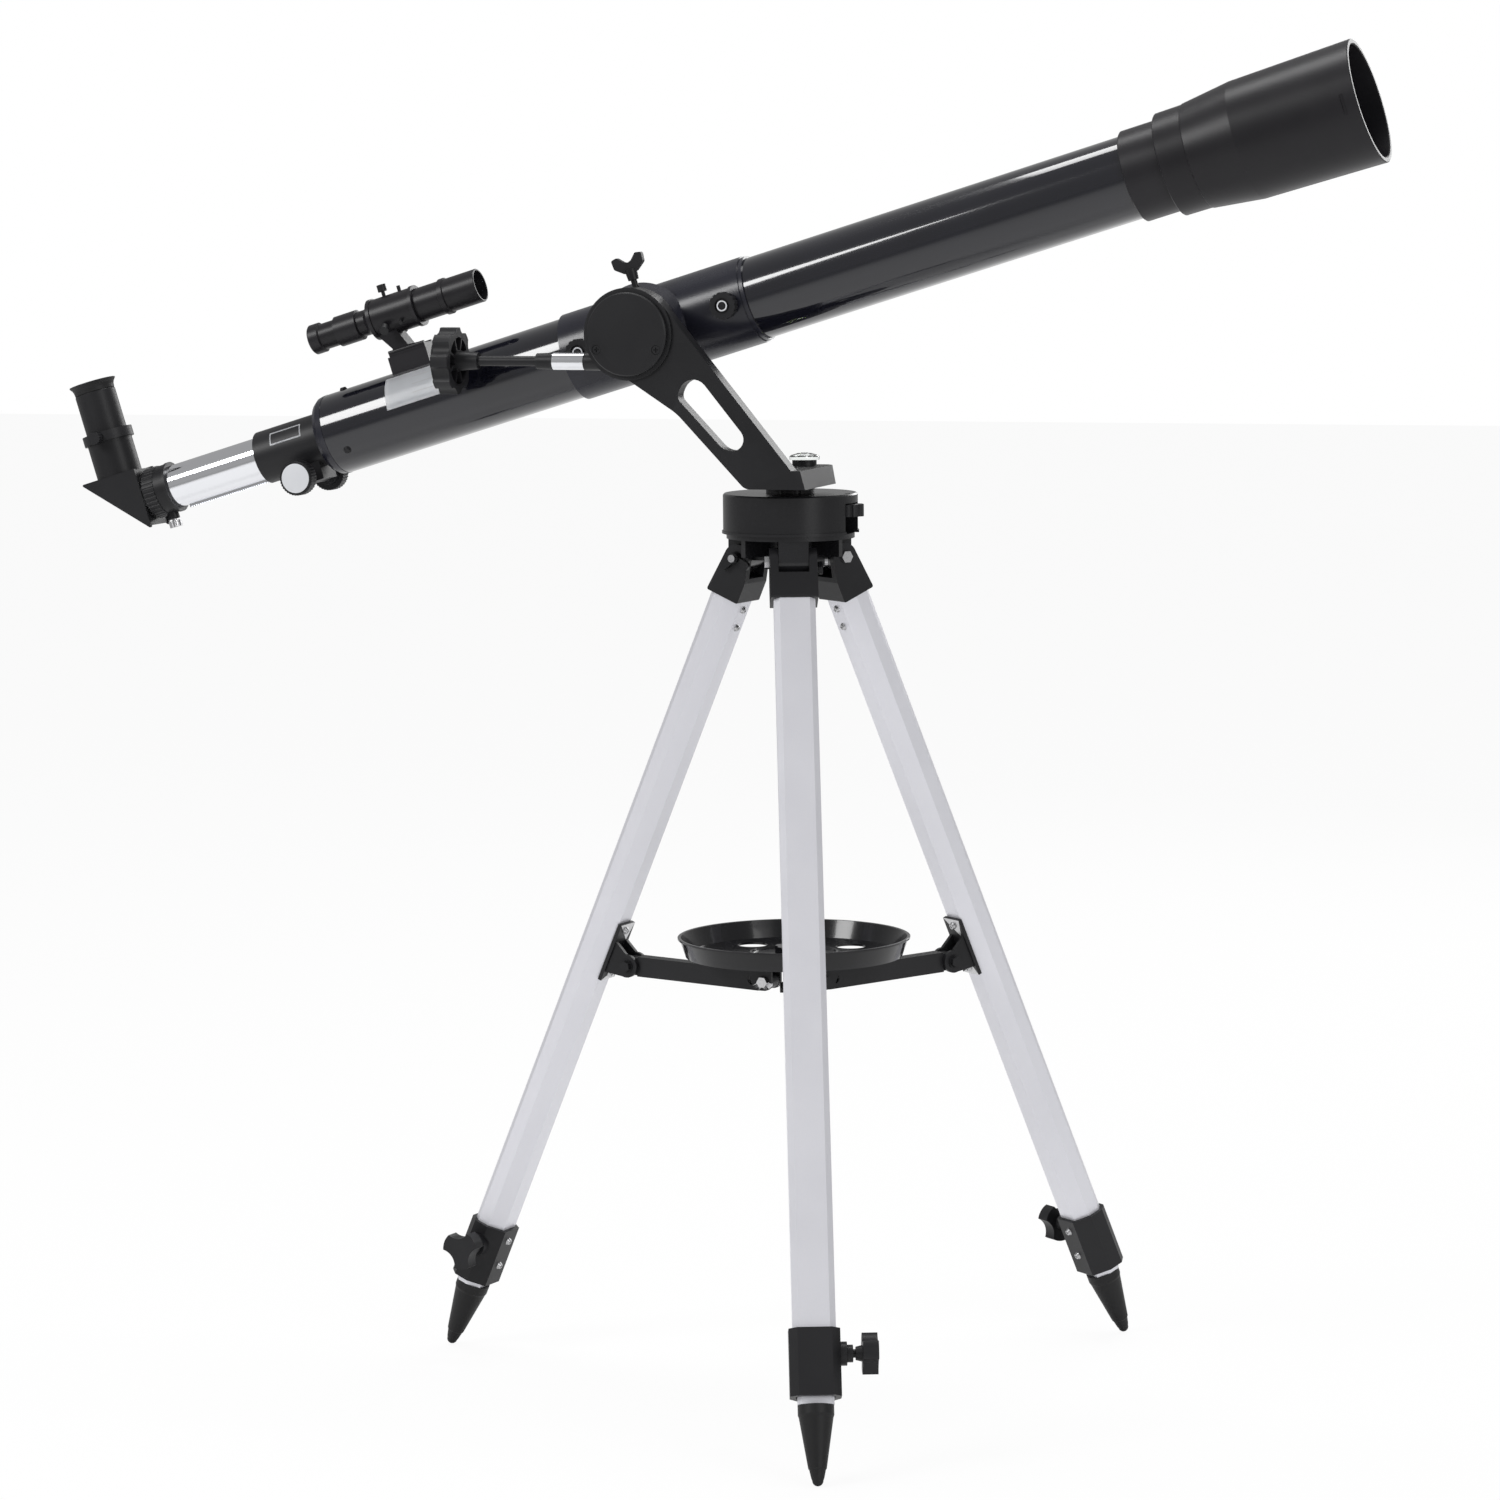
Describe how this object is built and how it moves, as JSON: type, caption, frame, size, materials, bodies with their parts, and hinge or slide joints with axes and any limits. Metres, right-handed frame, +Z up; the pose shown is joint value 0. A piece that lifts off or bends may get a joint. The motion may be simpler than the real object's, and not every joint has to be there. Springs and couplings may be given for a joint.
{
  "type": "refracting telescope on tripod",
  "caption": "Refracting telescope with finder, star diagonal and eyepiece on a single-arm altazimuth mount and a folding tripod with a tray.",
  "frame": {"origin": "on the floor, on the azimuth axis", "axes": "+Z up, +X the way the telescope points at rest, altitude axis along Y"},
  "size_m": [1.0915, 0.5685, 1.0601],
  "materials": {
    "moulded_body": "satin",
    "black_metal": "satin",
    "black_bolt": "satin",
    "steel": "satin",
    "brass_gear": "satin",
    "gloss_tube": "gloss",
    "shield_plastic": "satin",
    "black_plastic": "matte",
    "chrome_tube": "polished",
    "soft_rubber": "matte",
    "glass": "clear",
    "tray_paint": "gloss",
    "leg_aluminium": "satin anodised"
  },
  "bodies": {
    "tripod": {"tripod_head": "moulded_body", "head_spider": "moulded_body", "hinge_bolts": "steel"},
    "azimuth_lock": {"azimuth_lock_knob": "black_plastic"},
    "mount": {"mount_arm": "moulded_body", "azimuth_spindle": "black_bolt", "level_case": "black_plastic", "level_window": "glass", "gear_cover": "moulded_body", "cover_screws": "black_bolt"},
    "slow_motion": {"worm_shaft": "steel", "control_handle": "black_plastic"},
    "optical_tube": {"cradle": "moulded_body", "main_tube": "gloss_tube", "rear_cell": "moulded_body", "tube_screws": "black_bolt", "focuser_body": "black_plastic", "lens_cell": "moulded_body", "dew_shield": "shield_plastic", "objective_lens": "glass", "altitude_axle": "brass_gear", "finder_bracket": "moulded_body", "finder_tube": "shield_plastic", "finder_lenses": "glass"},
    "altitude_lock": {"altitude_lock_screw": "black_plastic"},
    "front_nut": {"cradle_knob_front": "black_plastic"},
    "rear_nut": {"cradle_knob_rear": "black_plastic"},
    "focus_drive": {"pinion_shaft": "steel", "focus_knobs": "black_plastic"},
    "focus_tube": {"drawtube": "chrome_tube", "drawtube_collar": "black_plastic"},
    "collar_screw": {"drawtube_thumbscrew": "steel"},
    "star_diagonal": {"diagonal_housing": "black_plastic", "diagonal_prism": "glass", "diagonal_barrel": "chrome_tube"},
    "holder_screw": {"eyepiece_thumbscrew": "black_plastic"},
    "eyepiece": {"eyepiece_barrel": "black_plastic", "eyecup": "soft_rubber", "eye_lens": "glass"},
    "spreader": {"spreader_hub": "black_metal", "tray": "tray_paint"},
    "leg_1": {"leg_tube_1": "leg_aluminium", "leg_fittings_1": "black_plastic"},
    "lower_leg_1": {"inner_leg_1": "leg_aluminium", "foot_1": "soft_rubber"},
    "leg_clamp_1": {"clamp_knob_1": "black_plastic"},
    "brace_arm_1": {"brace_1": "black_metal"},
    "leg_2": {"leg_tube_2": "leg_aluminium", "leg_fittings_2": "black_plastic"},
    "lower_leg_2": {"inner_leg_2": "leg_aluminium", "foot_2": "soft_rubber"},
    "leg_clamp_2": {"clamp_knob_2": "black_plastic"},
    "brace_arm_2": {"brace_2": "black_metal"},
    "leg_3": {"leg_tube_3": "leg_aluminium", "leg_fittings_3": "black_plastic"},
    "lower_leg_3": {"inner_leg_3": "leg_aluminium", "foot_3": "soft_rubber"},
    "leg_clamp_3": {"clamp_knob_3": "black_plastic"},
    "brace_arm_3": {"brace_3": "black_metal"}
  },
  "joints": [
    {"name": "azimuth", "type": "hinge", "parent": "tripod", "child": "mount", "pos_m": [0, 0, 0.71374], "axis": [0, 0, 1], "continuous": true},
    {"name": "azimuth_lock", "type": "hinge", "parent": "tripod", "child": "azimuth_lock", "pos_m": [0.0488, -0.003, 0.70174], "axis": [0, 0, 1], "range_deg": [-540, 0]},
    {"name": "altitude", "type": "hinge", "parent": "mount", "child": "optical_tube", "pos_m": [-0.1097, 0, 0.83994], "axis": [0, -1, 0], "range_deg": [-37, 50]},
    {"name": "slow_motion", "type": "hinge", "parent": "mount", "child": "slow_motion", "pos_m": [-0.1097, -0.0601, 0.81834], "axis": [1, 0, 0], "range_deg": [-1480, 2000]},
    {"name": "altitude_lock", "type": "hinge", "parent": "optical_tube", "child": "altitude_lock", "pos_m": [-0.1147, -0.0375, 0.88024], "axis": [-0.2924, 0, 0.9563], "range_deg": [-360, 0]},
    {"name": "front_nut", "type": "hinge", "parent": "optical_tube", "child": "front_nut", "pos_m": [-0.04037, -0.036, 0.86114], "axis": [0, -1, 0], "range_deg": [-720, 0]},
    {"name": "rear_nut", "type": "hinge", "parent": "optical_tube", "child": "rear_nut", "pos_m": [-0.1601, -0.036, 0.82453], "axis": [0, -1, 0], "range_deg": [-720, 0]},
    {"name": "focus", "type": "slide", "parent": "optical_tube", "child": "focus_tube", "axis": [-0.9563, 0, -0.2924], "range_m": [-0.075, 0.025]},
    {"name": "focus_turn", "type": "hinge", "parent": "optical_tube", "child": "focus_drive", "pos_m": [-0.40432, 0, 0.72279], "axis": [0, -1, 0], "range_deg": [-850, 285]},
    {"name": "collar_screw", "type": "hinge", "parent": "focus_tube", "child": "collar_screw", "pos_m": [-0.53036, 0, 0.69042], "axis": [0.2924, 0, -0.9563], "range_deg": [-360, 0]},
    {"name": "diagonal_turn", "type": "hinge", "parent": "focus_tube", "child": "star_diagonal", "pos_m": [-0.54147, 0, 0.70794], "axis": [0.9563, 0, 0.2924], "continuous": true},
    {"name": "holder_screw", "type": "hinge", "parent": "star_diagonal", "child": "holder_screw", "pos_m": [-0.5865, -0.02, 0.75262], "axis": [0, -1, 0], "range_deg": [-360, 0]},
    {"name": "eyepiece_pull", "type": "slide", "parent": "star_diagonal", "child": "eyepiece", "axis": [-0.2924, 0, 0.9563], "range_m": [0, 0.03]},
    {"name": "leg_1_fold", "type": "hinge", "parent": "tripod", "child": "leg_1", "pos_m": [0.01356, -0.03646, 0.66254], "axis": [0.9373, 0.3486, 0], "range_deg": [0, 5]},
    {"name": "leg_2_fold", "type": "hinge", "parent": "tripod", "child": "leg_2", "pos_m": [0.0248, 0.02997, 0.66254], "axis": [-0.7705, 0.6374, 0], "range_deg": [0, 5]},
    {"name": "leg_3_fold", "type": "hinge", "parent": "tripod", "child": "leg_3", "pos_m": [-0.03836, 0.00649, 0.66254], "axis": [-0.1668, -0.986, 0], "range_deg": [0, 5]},
    {"name": "spreader_lift", "type": "slide", "parent": "tripod", "child": "spreader", "axis": [0, 0, 1], "range_m": [0, 0.0768]},
    {"name": "brace_1_turn", "type": "hinge", "parent": "leg_1", "child": "brace_arm_1", "pos_m": [0.05129, -0.1379, 0.32916], "axis": [0.9373, 0.3486, 0], "range_deg": [0, 37.5]},
    {"name": "leg_1_extend", "type": "slide", "parent": "leg_1", "child": "lower_leg_1", "axis": [0.1379, -0.3707, -0.9184], "range_m": [0, 0.4]},
    {"name": "clamp_1_turn", "type": "hinge", "parent": "leg_1", "child": "leg_clamp_1", "pos_m": [0.09939, -0.26724, 0.09081], "axis": [0.9373, 0.3486, 0], "range_deg": [-540, 0]},
    {"name": "brace_2_turn", "type": "hinge", "parent": "leg_2", "child": "brace_arm_2", "pos_m": [0.09379, 0.11337, 0.32916], "axis": [-0.7705, 0.6374, 0], "range_deg": [0, 37.5]},
    {"name": "leg_2_extend", "type": "slide", "parent": "leg_2", "child": "lower_leg_2", "axis": [0.2521, 0.3048, -0.9184], "range_m": [0, 0.4]},
    {"name": "clamp_2_turn", "type": "hinge", "parent": "leg_2", "child": "leg_clamp_2", "pos_m": [0.18175, 0.21969, 0.09081], "axis": [-0.7705, 0.6374, 0], "range_deg": [-540, 0]},
    {"name": "brace_3_turn", "type": "hinge", "parent": "leg_3", "child": "brace_arm_3", "pos_m": [-0.14507, 0.02454, 0.32916], "axis": [-0.1668, -0.986, 0], "range_deg": [0, 37.5]},
    {"name": "leg_3_extend", "type": "slide", "parent": "leg_3", "child": "lower_leg_3", "axis": [-0.39, 0.066, -0.9184], "range_m": [0, 0.4]},
    {"name": "clamp_3_turn", "type": "hinge", "parent": "leg_3", "child": "leg_clamp_3", "pos_m": [-0.28113, 0.04755, 0.09081], "axis": [-0.1668, -0.986, 0], "range_deg": [-540, 0]}
  ],
  "couplings": [
    {"joint": "slow_motion", "follows": "altitude", "ratio": 40},
    {"joint": "focus_turn", "follows": "focus", "rad_per_m": 196.35},
    {"joint": "leg_2_fold", "follows": "leg_1_fold", "ratio": 1},
    {"joint": "leg_3_fold", "follows": "leg_1_fold", "ratio": 1},
    {"joint": "spreader_lift", "follows": "leg_1_fold", "m_per_rad": 0.8796},
    {"joint": "brace_1_turn", "follows": "leg_1_fold", "ratio": 7.486},
    {"joint": "brace_2_turn", "follows": "leg_1_fold", "ratio": 7.486},
    {"joint": "brace_3_turn", "follows": "leg_1_fold", "ratio": 7.486}
  ]
}
